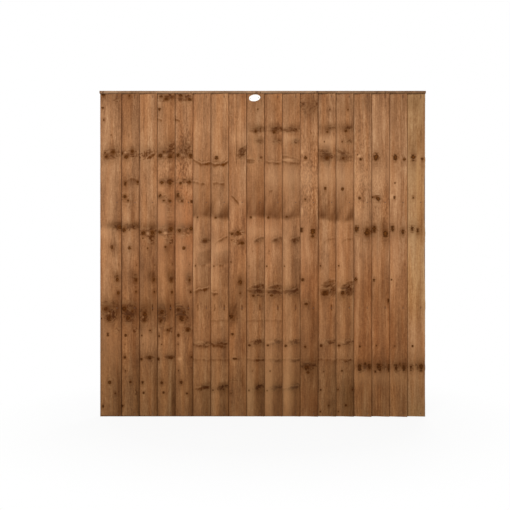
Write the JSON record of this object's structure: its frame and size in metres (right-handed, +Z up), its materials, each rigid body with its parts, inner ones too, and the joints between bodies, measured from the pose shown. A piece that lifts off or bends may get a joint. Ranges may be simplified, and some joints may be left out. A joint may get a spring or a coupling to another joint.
{
  "type": "closeboard fence panel",
  "caption": "Square timber garden fence panel of upright feather-edge boards, lapped and nailed to a batten frame, with a capping strip along the top.",
  "frame": {"origin": "middle of the foot: midway between the two ends and between the cap's front and back, at the lowest point", "axes": "+X to the right of someone who faces the boards, towards the right-hand post; -Y out of the boarded face; +Z up"},
  "size_m": [1.828, 0.046, 1.828],
  "materials": {
    "feather_edge_board": "rough sawn, brown dip treated",
    "frame_batten": "rough sawn, brown dip treated",
    "weathered_cap": "rough sawn, greyed",
    "galvanised_nail": "galvanised, dulled",
    "white_tag": "satin"
  },
  "bodies": {
    "root": {"board_01": "feather_edge_board", "board_02": "feather_edge_board", "board_03": "feather_edge_board", "board_04": "feather_edge_board", "board_05": "feather_edge_board", "board_06": "feather_edge_board", "board_07": "feather_edge_board", "board_08": "feather_edge_board", "board_09": "feather_edge_board", "board_10": "feather_edge_board", "board_11": "feather_edge_board", "board_12": "feather_edge_board", "board_13": "feather_edge_board", "board_14": "feather_edge_board", "board_15": "feather_edge_board", "board_16": "feather_edge_board", "board_17": "feather_edge_board", "board_18": "feather_edge_board", "bottom_rail": "frame_batten", "lower_rail": "frame_batten", "upper_rail": "frame_batten", "top_rail": "frame_batten", "left_end_batten": "frame_batten", "right_end_batten": "frame_batten", "cap_rail": "weathered_cap", "bottom_rail_nails": "galvanised_nail", "lower_rail_nails": "galvanised_nail", "upper_rail_nails": "galvanised_nail", "top_rail_nails": "galvanised_nail", "frame_nails": "galvanised_nail", "cap_nails": "galvanised_nail", "blank_oval_tag": "white_tag", "tag_pins": "galvanised_nail"}
  },
  "joints": []
}
